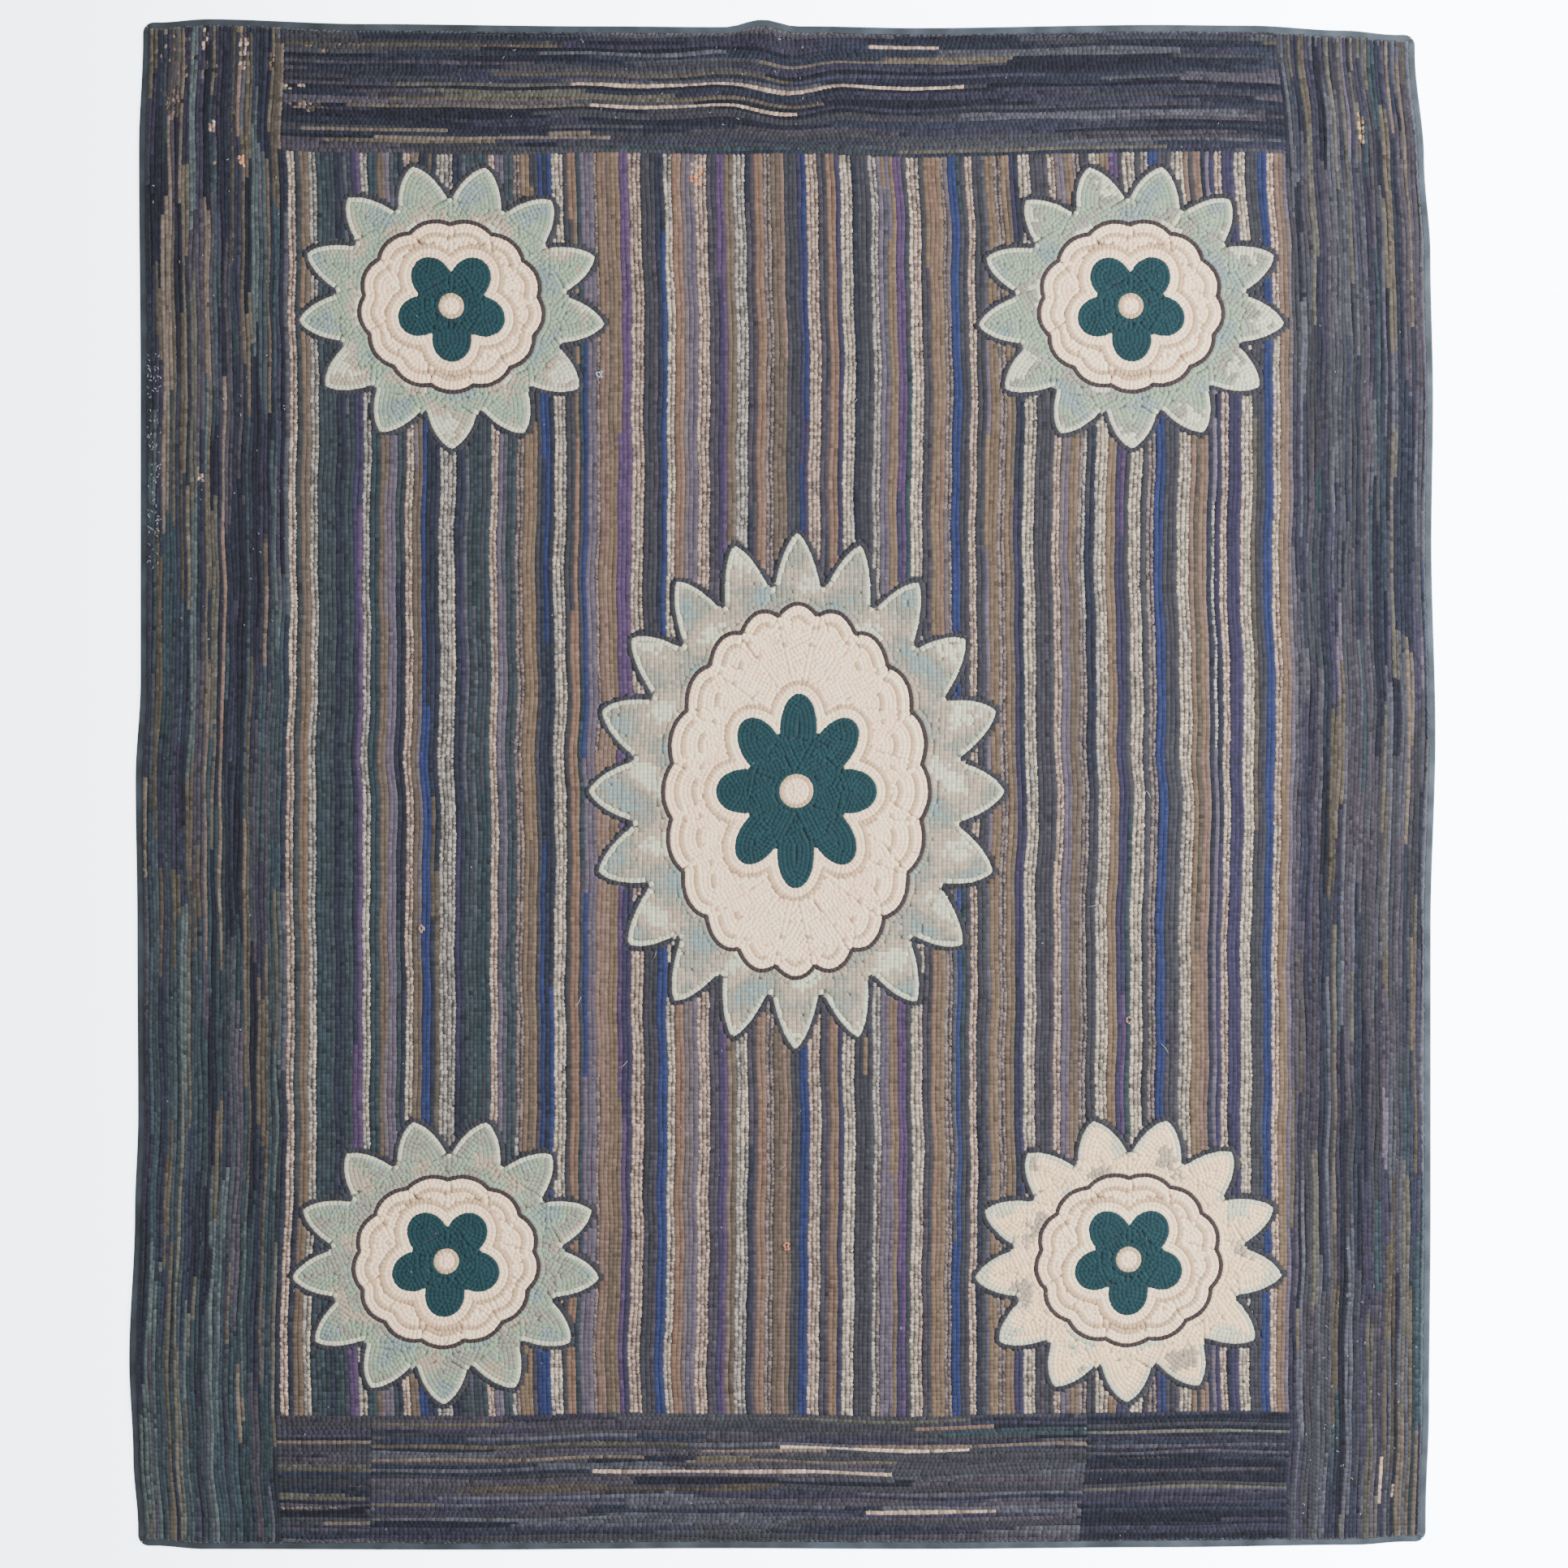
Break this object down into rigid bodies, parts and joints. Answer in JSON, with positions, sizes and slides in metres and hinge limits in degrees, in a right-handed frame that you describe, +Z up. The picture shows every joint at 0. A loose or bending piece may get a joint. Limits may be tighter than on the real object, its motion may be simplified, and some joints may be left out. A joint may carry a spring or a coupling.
{
  "type": "hooked rug",
  "caption": "Rectangular hooked rug of wool rag loops: a striped field with petalled rosettes, a dark mixed border and a cloth binding, lying flat.",
  "frame": {"origin": "on the floor, under the middle of the rug's bounding box", "axes": "+Z up out of the pile, +Y along the rug's length towards its head edge, +X across its width"},
  "size_m": [1.8349, 2.15, 0.0177],
  "materials": {
    "wool_rags": "dense looped wool rag pile in dark slate, charcoal, camel, cream, cobalt, plum, sage and teal",
    "cotton_tape": "slate blue-grey twill cotton tape, folded over the hem"
  },
  "bodies": {
    "root": {"hooked_ground": "wool_rags", "binding_head": "cotton_tape", "binding_left": "cotton_tape", "binding_foot": "cotton_tape", "binding_right": "cotton_tape"}
  },
  "joints": []
}
